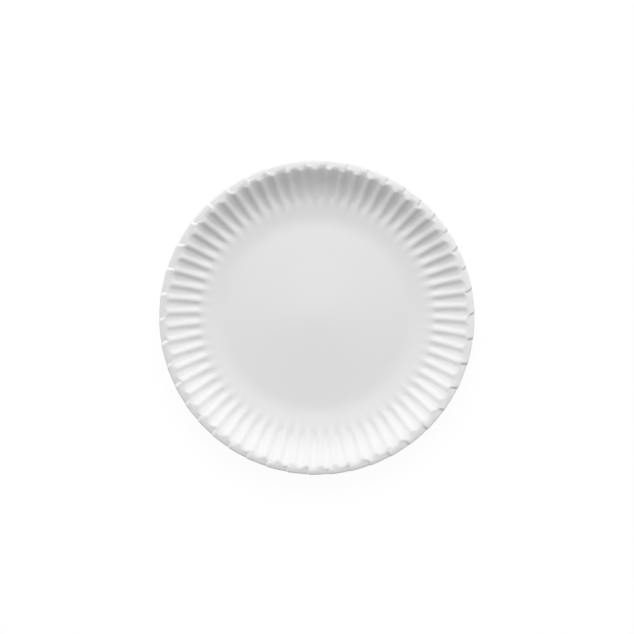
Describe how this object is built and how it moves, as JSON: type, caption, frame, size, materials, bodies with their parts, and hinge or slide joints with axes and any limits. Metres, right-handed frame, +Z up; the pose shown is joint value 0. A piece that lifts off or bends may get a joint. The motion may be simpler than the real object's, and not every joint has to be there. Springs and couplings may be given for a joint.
{
  "type": "paper plate",
  "caption": "Round disposable paper plate with a slightly crowned base, a flared fluted wall and a rolled rim with small pleats.",
  "frame": {"origin": "centre of the plate, on the surface that its base stands on", "axes": "+Z up out of the plate, along its axis; +X and +Y in the plane of the base"},
  "size_m": [0.2302, 0.2302, 0.0193],
  "materials": {
    "board": "smooth matt white"
  },
  "bodies": {
    "root": {"plate": "board"}
  },
  "joints": []
}
